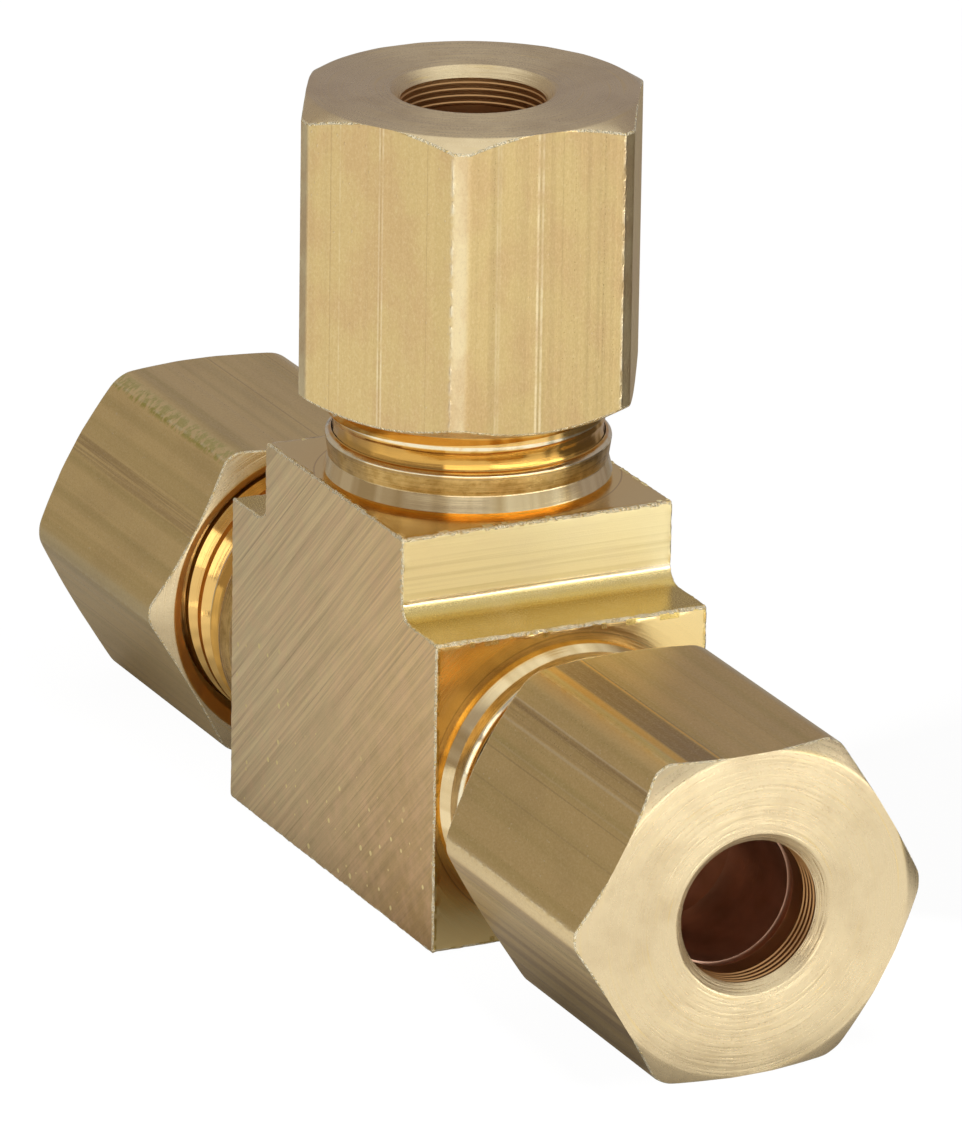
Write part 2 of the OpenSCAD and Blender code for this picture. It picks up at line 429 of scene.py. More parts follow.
def block_mesh():
    """The sawn length of extruded bar, with the small burrs that cutting left along its edges."""
    rng = np.random.default_rng(SEED)
    bar = BAR_CORNER_RADIUS
    corners = [(-RUN_HALF, UNDERSIDE, bar), (RUN_HALF, UNDERSIDE, bar), (RUN_HALF, SHOULDER, bar),
               (BLOCK_HALF, SHOULDER, STEP_RADIUS), (BLOCK_HALF, BRANCH_FACE, bar),
               (-BLOCK_HALF, BRANCH_FACE, bar), (-BLOCK_HALF, SHOULDER, STEP_RADIUS),
               (-RUN_HALF, SHOULDER, bar)]
    points, on_corner = rounded_outline(corners, OUTLINE_STEP)
    normals = outward_normals(points)
    count = len(points)
    rings = []

    def ring(y, out):
        """One ring of the bar's surface at y, moved out along the outline's normals."""
        moved = points + normals * np.asarray(out)[:, None]
        rings.append([(x, y, z) for x, z in moved])

    worst = (np.abs(points[:, 0]) < BLOCK_HALF + 0.1) & (points[:, 1] > SHOULDER - 0.2) & (
        points[:, 1] < BRANCH_FACE - 0.05)
    for side in (-1, 1):
        nick = SMALLEST_NICK + NICK_RANGE * rng.random(count) ** 2 * np.where(worst, 2.6, 1.3)
        burr = BURR_HEIGHT * rng.random(count) ** 3 * np.where(worst, 1.5, 1)
        end = side * BODY_HALF_DEPTH
        steps = [(0, -nick), (0.3, -0.3 * nick), (1, burr)]
        for depth, out in steps if side < 0 else reversed(steps):
            ring(end - side * depth * BURR_LENGTH, out)
        if side < 0:
            for y in np.arange(-BODY_HALF_DEPTH + 0.16, BODY_HALF_DEPTH - 0.1, RING_STEP):
                ring(y, CORNER_WANDER * (rng.random(count) - 0.6) * on_corner)
    bm = bmesh.new()
    made = [[bm.verts.new(p) for p in row] for row in rings]
    for row, above in zip(made, made[1:]):
        for i in range(count):
            j = (i + 1) % count
            bm.faces.new((row[i], row[j], above[j], above[i]))
    bm.faces.new(made[0])
    bm.faces.new(made[-1])
    bmesh.ops.recalc_face_normals(bm, faces=bm.faces)
    return to_mesh(bm, "block")


def rod_mesh(radius, length, to_row):
    """A plain rod, the shape that a drill cuts, with its middle and its axis where to_row puts them."""
    bm = bmesh.new()
    bmesh.ops.create_cone(bm, cap_ends=True, segments=96, radius1=radius, radius2=radius, depth=length)
    bmesh.ops.transform(bm, matrix=to_row, verts=bm.verts)
    return to_mesh(bm, "rod")


def link(name, mesh):
    """A new object in the scene that holds the mesh."""
    obj = bpy.data.objects.new(name, mesh)
    bpy.context.scene.collection.objects.link(obj)
    return obj


def combine(target, tools, operation):
    """Joins or cuts target with each tool, exactly, and removes the tools."""
    for tool in tools:
        modifier = target.modifiers.new("cut", "BOOLEAN")
        modifier.operation = operation
        modifier.solver = "EXACT"
        modifier.object = tool
        bpy.context.view_layer.update()
        depsgraph = bpy.context.evaluated_depsgraph_get()
        result = bpy.data.meshes.new_from_object(target.evaluated_get(depsgraph))
        target.modifiers.clear()
        target.data = result
        bpy.data.objects.remove(tool)


def tee_mesh():
    """Block, three ports and the drilled passages, as one solid in the row frame."""
    tee = link("tee", block_mesh())
    spigots = []
    for port, to_row in PORT_FRAMES.items():
        mesh = spigot_shell().mesh(port)
        mesh.transform(to_row)
        spigots.append(link(port, mesh))
    combine(tee, spigots, "UNION")
    reach = SOCKET_STOP + 0.5
    run = Matrix.Translation((0, 0, AXIS_Z)) @ Matrix.Rotation(math.pi / 2, 4, "Y")
    branch_length = BRANCH_FACE - AXIS_Z + reach
    up = Matrix.Translation((0, 0, AXIS_Z + branch_length / 2))
    rods = [link("run", rod_mesh(PASSAGE_R, 2 * (RUN_HALF + reach), run)),
            link("up", rod_mesh(BRANCH_PASSAGE_R, branch_length, up))]
    combine(tee, rods, "DIFFERENCE")
    mesh = tee.data
    bpy.data.objects.remove(tee)
    return mesh


# ------------ finished pieces


DRAWN, TURNED, EDGE, SAWN, EXTRUDED, INSIDE, NECK = range(7)
SAW_ANGLE = 42  # how steeply the saw lines rise towards +X, in degrees
SHARP_ANGLE = 35  # edges that turn more than this many degrees stay sharp
BURRED = 0.07  # how far in from a sawn face its burred edge is bright
NEAR_CORNER = 0.1
BORE_REACH = {"right": 9.39, "left": 9.39, "branch": 11.09}  # how far in from its face a port's bore goes


def read(items, name, width=1, kind=float):
    """One property of all the vertices, faces or corners of a mesh, as an array."""
    values = np.empty(len(items) * width, kind)
    items.foreach_get(name, values)
    return values.reshape(-1, width) if width > 1 else values


def face_data(mesh):
    """Centre and normal of every face, as arrays."""
    return read(mesh.polygons, "center", 3), read(mesh.polygons, "normal", 3)


def moved(points, matrix):
    """An array of points, transformed."""
    m = np.array(matrix)
    return points @ m[:3, :3].T + m[:3, 3]


def turned_direction(local):
    """The way a lathe's tool ran over each point of a surface turned about Z."""
    way = np.stack([-local[:, 1], local[:, 0], np.zeros(len(local))], 1)
    return way / np.maximum(np.linalg.norm(way, axis=1), 1e-6)[:, None]


def mark(mesh, kinds, frame_of_face, frames, offset):
    """Gives each face its kind of surface, and each corner two attributes: "place", in millimetres
    in the frame that its face was cut in, with offset added to its Z, and "grain", the way that its
    fine lines run."""
    mesh.polygons.foreach_set("material_index", kinds.astype(np.int32))
    points = read(mesh.vertices, "co", 3)[read(mesh.loops, "vertex_index", kind=np.int64)]
    corners = read(mesh.polygons, "loop_total", kind=np.int64)
    kinds = np.repeat(kinds, corners)
    frame_of_corner = np.repeat(frame_of_face, corners)
    place = np.zeros_like(points)
    grain = np.zeros_like(points)
    saw = math.radians(SAW_ANGLE)
    saw_line = (math.cos(saw), 0, math.sin(saw))
    straight = {DRAWN: (0, 0, 1), EDGE: (0, 0, 1), EXTRUDED: (0, 1, 0), SAWN: saw_line}
    for k, to_row in enumerate(frames):
        here = frame_of_corner == k
        local = moved(points[here], to_row.inverted())
        ways = turned_direction(local)
        for kind, way in straight.items():
            ways[kinds[here] == kind] = way
        place[here] = local
        grain[here] = ways @ np.array(to_row)[:3, :3].T
    place[:, 2] += offset
    for name, values in (("place", place), ("grain", grain)):
        attribute = mesh.attributes.new(name, "FLOAT_VECTOR", "CORNER")
        attribute.data.foreach_set("vector", values.astype(np.float32).ravel())


def mark_lands(mesh):
    """Gives a nut's vertices "land", which is 1 across each corner's narrow land, and "rim", which is
    1 along one edge of it."""
    points = read(mesh.vertices, "co", 3)
    local = np.arctan2(points[:, 1], points[:, 0]) % (math.pi / 3) - math.pi / 6
    half_land = HALF_LAND / CORNER_REACH
    rim = np.exp(-(((local + half_land) / 0.009) ** 2))
    land = np.exp(-((local / half_land) ** 4))
    for name, values in (("rim", rim), ("land", land)):
        attribute = mesh.attributes.new(name, "FLOAT", "POINT")
        attribute.data.foreach_set("value", values.astype(np.float32))


def nut_kinds(mesh):
    """Kind of each face of a nut in its own frame."""
    centre, normal = face_data(mesh)
    radius = np.hypot(centre[:, 0], centre[:, 1])
    outwards = normal[:, 0] * centre[:, 0] + normal[:, 1] * centre[:, 1] > 0
    tilt = np.abs(normal[:, 2])
    outside = outwards & (radius > HALF_FLATS - 0.08)
    kinds = np.full(len(centre), TURNED)
    kinds[outside & (tilt < 0.75)] = EDGE
    kinds[outside & (tilt < 0.12)] = DRAWN
    kinds[(centre[:, 2] < NUT_BORE_LENGTH) & (radius < INNER_LIP_R) & (tilt < 0.95)] = NECK
    kinds[(radius < NUT_BORE_R - 0.1) & (centre[:, 2] < centre[:, 2].max() - NUT_HOLE_LIP)] = INSIDE
    return kinds


def sleeve_kinds(mesh):
    """Kind of each face of a sleeve in its own frame: dull inside and on its rear taper."""
    centre, _ = face_data(mesh)
    rear = centre[:, 2] > SLEEVE_LENGTH - REAR_TAPER - 0.1
    inside = np.hypot(centre[:, 0], centre[:, 1]) < TUBE_R + 0.05
    return np.where(rear | inside, INSIDE, TURNED)


def tee_kinds(mesh):
    """Kind of each face of the body, and the frame it was cut in: 0 for the bar, 1 to 3 for a port."""
    centre, normal = face_data(mesh)
    kinds = np.full(len(centre), EXTRUDED)
    frame_of_face = np.zeros(len(centre), np.int64)
    depth = np.abs(centre[:, 1])
    edge = depth > BODY_HALF_DEPTH - BURRED
    for x in (-RUN_HALF, -BLOCK_HALF, BLOCK_HALF, RUN_HALF):
        for z in (UNDERSIDE, SHOULDER, BRANCH_FACE):
            at_corner = (abs(centre[:, 0] - x) < NEAR_CORNER) & (abs(centre[:, 2] - z) < NEAR_CORNER)
            edge |= at_corner & (abs(normal[:, 0]) < 0.995) & (abs(normal[:, 2]) < 0.995)
    kinds[edge] = EDGE
    kinds[(np.abs(normal[:, 1]) > 0.97) & (depth > BODY_HALF_DEPTH - 0.02)] = SAWN
    for k, (port, to_row) in enumerate(PORT_FRAMES.items()):
        local = moved(centre, to_row.inverted())
        facing = normal @ np.array(to_row)[:3, 2]
        radius = np.hypot(local[:, 0], local[:, 1])
        outside = (local[:, 2] > 0.01) & (radius < BAND_R + 0.1)
        face = (np.abs(local[:, 2]) < 0.005) & (facing > 0.99) & ~edge
        bore = (radius < MOUTH_R + 0.1) & (local[:, 2] > -BORE_REACH[port]) & (depth < MOUTH_R + 0.1)
        here = outside | face | bore
        kinds[here] = NECK
        kinds[bore] = INSIDE
        frame_of_face[here] = k + 1
    return kinds, frame_of_face


def finish_piece(name, mesh, node, body):
    """Scales a mesh to metres, shades it, and makes it stand for its CAD node."""
    mesh.transform(Matrix.Scale(MM, 4))
    mesh.shade_smooth()
    mesh.set_sharp_from_angle(angle=math.radians(SHARP_ANGLE))
    for material in MATERIALS:
        mesh.materials.append(material)
    obj = link(name, mesh)
    weighted = obj.modifiers.new("flat faces stay flat", "WEIGHTED_NORMAL")
    weighted.keep_sharp = True
    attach(obj, body)
    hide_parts(node)


# ------------ materials


class Nodes:
    """A short way to write nodes."""

    def __init__(self, tree):
        self.tree = tree

    def node(self, kind, inputs=(), **settings):
        """Adds a node. inputs maps socket names or numbers to sockets or values."""
        node = self.tree.nodes.new("ShaderNode" + kind)
        for key, value in settings.items():
            setattr(node, key, value)
        for key, value in dict(inputs).items():
            self.feed(node.inputs[key], value)
        return node

    def feed(self, socket, value):
        """Links a socket into another, or sets its value."""
        if isinstance(value, bpy.types.NodeSocket):
            self.tree.links.new(value, socket)
        else:
            socket.default_value = value

    def math(self, operation, a, b=0.0):
        """One arithmetic step."""
        return self.node("Math", {0: a, 1: b}, operation=operation).outputs[0]

    def plus(self, a, b):
        """The sum of two numbers."""
        return self.math("ADD", a, b)

    def times(self, product, *factors):
        """The product of all the numbers."""
        for factor in factors:
            product = self.math("MULTIPLY", product, factor)
        return product

    def gap(self, a, b):
        """How far apart two numbers are."""
        return self.math("ABSOLUTE", self.math("SUBTRACT", a, b))

    def parts(self, vector):
        """The x, y and z of a vector."""
        return self.node("SeparateXYZ", {0: vector}).outputs

    def vector(self, x, y, z=0.0):
        """A vector from its parts."""
        return self.node("CombineXYZ", {0: x, 1: y, 2: z}).outputs[0]

    def along(self, vector, direction):
        """How far a vector goes in a direction."""
        return self.node("VectorMath", {0: vector, 1: direction}, operation="DOT_PRODUCT").outputs["Value"]

    def noise(self, vector, detail, rough):
        """Noise from about 0.2 to 0.8 round 0.5, with one cell for each unit of vector."""
        inputs = {"Vector": vector, "Scale": 1.0, "Detail": detail, "Roughness": rough}
        return self.node("TexNoise", inputs).outputs[0]

    def between(self, value, low, high, start=0.0, end=1.0):
        """Maps value from low..high to start..end, clamped."""
        inputs = {"Value": value, "From Min": low, "From Max": high, "To Min": start, "To Max": end}
        return self.node("MapRange", inputs).outputs[0]

    def band(self, value, low, high, low_fade, high_fade):
        """1 from low to high, fading to 0 at low_fade below it and at high_fade above it."""
        return self.times(self.between(value, low_fade, low), self.between(value, high_fade, high))

    def towards(self, vector, direction, low, high):
        """0 to 1 as a unit vector's cosine to a direction goes from low to high."""
        return self.between(self.along(vector, tuple(Vector(direction).normalized())), low, high)

    def blend(self, factor, a, b):
        """A colour between a and b."""
        mix = self.node("Mix", data_type="RGBA")
        for socket, value in zip((mix.inputs[0], mix.inputs[6], mix.inputs[7]), (factor, a, b)):
            self.feed(socket, value)
        return mix.outputs[2]


class Graph(Nodes):
    """The nodes of one metal or floor, whose colour and relief are built up layer by layer."""

    def __init__(self, name, colour):
        self.material = bpy.data.materials.new(name)
        self.material.use_nodes = True
        super().__init__(self.material.node_tree)
        self.shader = self.tree.nodes["Principled BSDF"]
        self.set("Metallic", 1)
        self.colour = colour
        self.normal = None

    def set(self, name, value):
        """Sets or feeds one of the shader's inputs."""
        self.feed(self.shader.inputs[name], value)

    def attribute(self, name, output="Fac"):
        """An attribute of the mesh."""
        return self.node("Attribute", attribute_name=name).outputs[output]

    def place(self):
        """The surface's place in millimetres, which mark() gave it."""
        return self.attribute("place", "Vector")

    def spread(self, scale, detail, rough, turn=0):
        """Noise over the surface's place, with scale cells to a millimetre, or a scale for each axis,
        turned about Y by an angle in degrees."""
        scale = scale if isinstance(scale, tuple) else (scale, scale, scale)
        inputs = {"Vector": self.place(), "Rotation": (0, math.radians(turn), 0)}
        turned = self.node("VectorRotate", inputs, rotation_type="EULER_XYZ").outputs[0]
        scaled = self.node("VectorMath", {0: turned, 1: scale}, operation="MULTIPLY").outputs[0]
        return self.noise(scaled, detail, rough)

    def paint(self, colour, *factors):
        """Lays a colour over what is there, as strongly as the product of the factors."""
        self.colour = self.blend(self.times(*factors), self.colour, colour)

    def bump(self, height, distance, strength=1.0):
        """Adds a height to the relief, with distance in metres. A strength of -1 sinks it."""
        inputs = {"Height": height, "Strength": strength, "Distance": distance}
        if self.normal is not None:
            inputs["Normal"] = self.normal
        self.normal = self.node("Bump", inputs).outputs[0]

    def finish(self, roughness, anisotropy=0.0):
        """Feeds the shader. Anisotropy spreads reflections across the grain."""
        self.set("Base Color", self.colour)
        self.set("Roughness", roughness)
        if anisotropy:
            self.set("Anisotropic", anisotropy)
            self.set("Anisotropic Rotation", 0.25)
            self.set("Tangent", self.node("VectorTransform", {0: self.attribute("grain", "Vector")},
                                          vector_type="VECTOR", convert_from="OBJECT",
                                          convert_to="WORLD").outputs[0])
        if self.normal is not None:
            self.set("Normal", self.normal)
        return self.material


class LatheGraph(Graph):
    """The nodes of a surface turned about Z, whose marks run in rings."""

    def __init__(self, name, colour, lean):
        """lean is how much a step along the axis counts against the same step outwards."""
        super().__init__(name, colour)
        x, y, self.z = self.parts(self.place())
        self.radius = self.math("SQRT", self.plus(self.times(x, x), self.times(y, y)))
        self.around = [self.math("DIVIDE", side, self.plus(self.radius, 0.01)) for side in (x, y)]
        self.reach = self.plus(self.radius, self.times(self.z, lean))

    def rings(self, per_mm, sectors, detail):
        """Noise that runs in rings, with per_mm of them to a millimetre."""
        across, up = (self.times(side, sectors) for side in self.around)
        return self.noise(self.vector(self.times(self.reach, per_mm), across, up), detail, 0.6)


CLEAN = (0.86, 0.655, 0.29, 1)
PALE = (0.82, 0.67, 0.41, 1)
OLIVE = (0.60, 0.46, 0.17, 1)
BROWN = (0.40, 0.26, 0.12, 1)
SAWN_HIGH = (1.0, 0.76, 0.40, 1)
SAWN_LOW = (0.52, 0.335, 0.13, 1)
SAWN_PALE = (1.0, 0.86, 0.54, 1)
SAWN_PINK = (0.97, 0.63, 0.41, 1)
PIT = (1.0, 0.86, 0.42, 1)
COPPERY = (0.74, 0.47, 0.33, 1)
MOUTH_BROWN = (0.58, 0.34, 0.13, 1)
DEEP_BROWN = (0.58, 0.36, 0.24, 1)
FACE_GOLD = (0.93, 0.72, 0.33, 1)
# FACE_ORANGE is a painted reflection of the neck on the face around it.
FACE_ORANGE = (0.96, 0.655, 0.235, 1)
THREAD_GOLD = (0.86, 0.56, 0.19, 1)
# The flare's pale streaks are painted highlights.
FLARE_DULL = (0.66, 0.49, 0.24, 1)
FLARE_PALE = (0.92, 0.75, 0.44, 1)
BAND_GOLD = (0.46, 0.28, 0.08, 1)
BAND_PALE = (0.68, 0.45, 0.16, 1)
# GROOVE_ORANGE is painted shade, with light bounced in the hollow under the nut.
GROOVE_ORANGE = (0.74, 0.42, 0.10, 1)
# LIP_ORANGE is a painted reflection of the port's orange face.
LIP_ORANGE = (1.0, 0.70, 0.28, 1)
SIDE_PALE = (0.92, 0.78, 0.42, 1)
LEDGE_GOLD = (0.66, 0.48, 0.15, 1)
BURR = (0.98, 0.88, 0.62, 1)
DULL = (0.68, 0.485, 0.205, 1)
TOP_GOLD = (0.745, 0.56, 0.25, 1)
SCUFF = (0.46, 0.42, 0.07, 1)
STAIN = (0.68, 0.45, 0.22, 1)
# LAND_PALE is also the painted highlight on the nuts' corner lands.
LAND_PALE = (0.98, 0.84, 0.52, 1)
STREAK_BROWN = (0.30, 0.20, 0.095, 1)
STREAK_GOLD = (0.86, 0.56, 0.14, 1)
STREAK_GREEN = (0.74, 0.66, 0.33, 1)

# Streaks along a nut's flat: where each starts and ends across it, its blur, strength and colour.
TOP_STREAKS = ((0.3, 0.62, 0.08, 0.7, STREAK_GREEN), (0.62, 0.95, 0.06, 0.8, STREAK_GOLD),
               (0.95, 1.95, 0.07, 0.75, STREAK_BROWN), (1.99, 2.08, 0.02, 0.9, STREAK_GOLD),
               (2.1, 2.16, 0.02, 0.5, STREAK_BROWN))
LEFT_STREAKS = ((0.9, 0.98, 0.02, 0.8, PALE), (0.98, 1.2, 0.05, 0.35, BROWN), (1.2, 1.55, 0.05, 0.2, BROWN),
                (1.62, 1.72, 0.03, 0.7, PALE), (2.5, 2.55, 0.02, 0.3, PALE), (3.8, 3.85, 0.02, 0.3, BROWN))
FRONT_STREAKS = ((-0.36, -0.28, 0.02, 0.9, LAND_PALE), (-0.28, -0.22, 0.015, 0.4, BROWN),
                 (-0.2, -0.12, 0.02, 0.9, LAND_PALE), (-1.86, -1.8, 0.03, 0.5, LAND_PALE),
                 (-1.76, -1.7, 0.03, 0.35, LAND_PALE), (1.9, 2.0, 0.04, 0.2, BROWN))
SIDE_STREAKS = ((-0.04, 0.02, 0.015, 0.8, LAND_PALE), (0.03, 0.07, 0.015, 0.6, BROWN),
                (0.09, 0.15, 0.015, 0.8, LAND_PALE), (-1.6, -1.56, 0.02, 0.4, LAND_PALE))

# The flats that have marks of their own, in a nut's own frame: the way each faces and the way across.
FLAT_A, ACROSS_A = (0.5, -0.866, 0), (0.866, 0.5, 0)
FLAT_B, ACROSS_B = (-0.5, -0.866, 0), (0.866, -0.5, 0)
FLAT_C, FLAT_D, ACROSS_C_AND_D = (1, 0, 0), (-1, 0, 0), (0, 1, 0)
HALF_WIDTH_OF_FLAT = HALF_FLATS * 0.577
ON_FLAT = (5.35, 5.45)  # how far out a place starts to be on a flat, and is wholly on it


def nut_mask(g, number):
    """1 on the nut of a port, by the port's number from 1 up, and 0 on the others."""
    start = PLACE_STEP * number
    return g.band(g.parts(g.place())[2], start - 5, start + 15, start - 10, start + 20)


def on_flat(g, direction):
    """1 on the flat of a nut that faces that way, and 0 elsewhere."""
    return g.between(g.along(g.place(), direction), *ON_FLAT)


def lay_streaks(g, across, where, streaks, broken=None):
    """Lays streaks where a flat is, with broken as the noise that breaks them up."""
    for low, high, blur, strength, colour in streaks:
        line = g.band(across, low + blur, high - blur, low - blur, high + blur)
        g.paint(colour, where, line, strength if broken is None else g.times(broken, strength))


def left_nut_marks(g, left_nut, hairs):
    """A group of dark hairs and a row of chatter marks. Returns where the chatter is."""
    across = g.along(g.place(), ACROSS_A)
    facing = g.along(g.place(), FLAT_A)
    here = g.times(left_nut, g.between(facing, HALF_FLATS - 0.4, HALF_FLATS - 0.2))
    group = g.between(g.gap(across, 0.35), 0.55, 0.15)
    g.paint(BROWN, here, g.times(group, hairs, 0.65))
    chatter = g.between(g.spread((2.5, 2.5, 4.5), 2, 0.6), 0.42, 0.55)
    row = g.between(g.gap(across, 3.0), 0.35, 0.2)
    scuffed = g.times(row, left_nut, chatter, g.between(facing, 4.6, 4.9))
    g.paint(SCUFF, scuffed, 0.95)
    return scuffed


def right_nut_marks(g, right_nut, hairs, stain):
    """Streaks along the top flat and the one to its left, scratches on that one, and brown run marks on the
    flat below it, partly stains and partly painted shade of that downward-facing flat.
    """
    bent = g.times(g.math("SUBTRACT", stain, 0.5), 0.4)
    from_corner = g.plus(g.plus(g.along(g.place(), ACROSS_C_AND_D), HALF_WIDTH_OF_FLAT), bent)
    lay_streaks(g, from_corner, g.times(right_nut, on_flat(g, FLAT_D)), TOP_STREAKS)
    down = g.plus(g.plus(g.along(g.place(), ACROSS_B), HALF_WIDTH_OF_FLAT), g.times(bent, 0.5))
    on_left = g.times(right_nut, on_flat(g, FLAT_B))
    lay_streaks(g, down, on_left, LEFT_STREAKS)
    g.paint(BROWN, on_left, g.band(down, 1.05, 1.4, 0.85, 1.6), hairs, 0.6)
    # Brown run marks on the lower flat: partly stains, partly painted shade of that downward-facing flat.
    runs_and_shade = g.between(g.spread((2.2, 2.2, 0.02), 3, 0.6), 0.46, 0.6)
    g.paint(BROWN, right_nut, on_flat(g, FLAT_A), runs_and_shade, 0.7)


def branch_nut_marks(g, branch_nut):
    """Broken pale and dark lines along the front flat and the one to its left."""
    broken = g.between(g.spread((0.5, 0.5, 0.9), 3, 0.7), 0.4, 0.55, 0.3, 1)
    across = g.along(g.place(), ACROSS_C_AND_D)
    lay_streaks(g, across, g.times(branch_nut, on_flat(g, FLAT_C)), FRONT_STREAKS, broken)
    across = g.along(g.place(), ACROSS_A)
    lay_streaks(g, across, g.times(branch_nut, on_flat(g, FLAT_A)), SIDE_STREAKS, broken)


def drawn_brass():
    """Flats of the hexagon bar: satin, with draw lines, a few grooves and faint stains along it, and a
    painted highlight across the corners' lands.
    """
    g = Graph("drawn_brass", CLEAN)
    right_nut, left_nut, branch_nut = (nut_mask(g, number) for number in (1, 2, 3))
    waves = g.spread((1.1, 1.1, 0.008), 2, 0.5)
    lines = g.spread((6, 6, 0.02), 3, 0.6)
    fine = g.spread((24, 24, 0.3), 2, 0.6)
    groove = g.between(g.spread((4.2, 4.2, 0.006), 1, 0.4), 0.72, 0.74)
    stain = g.spread((1.6, 1.6, 0.02), 3, 0.5)
    patch = g.spread((0.5, 0.5, 0.3), 2, 0.5)
    grain = g.spread(22, 2, 0.7)
    nick = g.between(g.spread((9, 9, 5), 1, 0.5), 0.74, 0.78)
    hairs = g.between(g.spread((9, 9, 0.1), 2, 0.6), 0.45, 0.6)
    g.paint(DULL, g.between(right_nut, 0, 1, 0.15, 0.6))
    g.paint(TOP_GOLD, branch_nut)
    g.paint(OLIVE, g.between(stain, 0.45, 0.75), g.between(branch_nut, 0, 1, 0.8, 0.15))
    g.paint(BROWN, g.between(patch, 0.5, 0.8), g.between(branch_nut, 0, 1, 0.18, 0.0))
    g.paint(BROWN, groove, 0.4)
    g.paint(PALE, nick, 0.7)
    scuffed = left_nut_marks(g, left_nut, hairs)
    right_nut_marks(g, right_nut, hairs, stain)
    branch_nut_marks(g, branch_nut)
    worn = g.between(g.spread((4, 4, 2.5), 3, 0.6), 0.4, 0.6)
    rim = g.times(g.attribute("rim"), worn, g.between(branch_nut, 0, 1, 0.5, 1))
    # Painted highlight across each corner's narrow land, strongest on the branch nut.
    g.paint(LAND_PALE, g.attribute("land"), g.between(branch_nut, 0, 1, 0.3, 0.75))
    g.paint(BURR, rim)
    g.paint(STAIN, g.between(g.spread((0.55, 0.55, 0.35), 4, 0.65), 0.44, 0.6, 0, 0.5), branch_nut)
    speckle = g.spread((14, 14, 9), 3, 0.75)
    g.paint(BROWN, g.between(speckle, 0.5, 0.3, 0, 0.17))
    g.paint(LAND_PALE, g.between(speckle, 0.5, 0.7, 0, 0.25))
    g.bump(waves, 0.00005)
    g.bump(rim, 0.00003)
    g.bump(scuffed, 0.00003, -1.0)
    g.bump(lines, 0.00001)
    g.bump(fine, 0.000003)
    g.bump(groove, 0.000015, -1.0)
    g.bump(g.plus(grain, nick), 0.000007)
    return g.finish(g.between(g.plus(lines, grain), 0.7, 1.3, 0.27, 0.4), 0.6)


def turned_brass():
    """Surfaces cut in a lathe: bright, with rings about the axis that are stronger near a hole."""
    g = LatheGraph("turned_brass", PALE, 0.83)
    coarse = g.rings(4.5, 0.9, 2)
    fine = g.rings(16, 2.0, 2)
    grain = g.spread(24, 2, 0.65)
    g.paint(CLEAN, g.between(g.rings(5.5, 1.1, 1), 0.66, 0.74), 0.5)
    g.paint(BROWN, g.between(g.spread(0.7, 3, 0.6), 0.45, 0.75, 0, 0.25))
    g.paint(CLEAN, g.between(fine, 0.58, 0.72, 0, 0.3))
    near_hole = g.between(g.radius, 4.2, 3.2, 1, 1.8)
    g.bump(g.times(coarse, near_hole), 0.000016)
    g.bump(g.times(fine, near_hole), 0.00001)
    g.bump(grain, 0.000005)
    return g.finish(g.between(g.plus(grain, fine), 0.7, 1.3, 0.24, 0.36), 0.75)


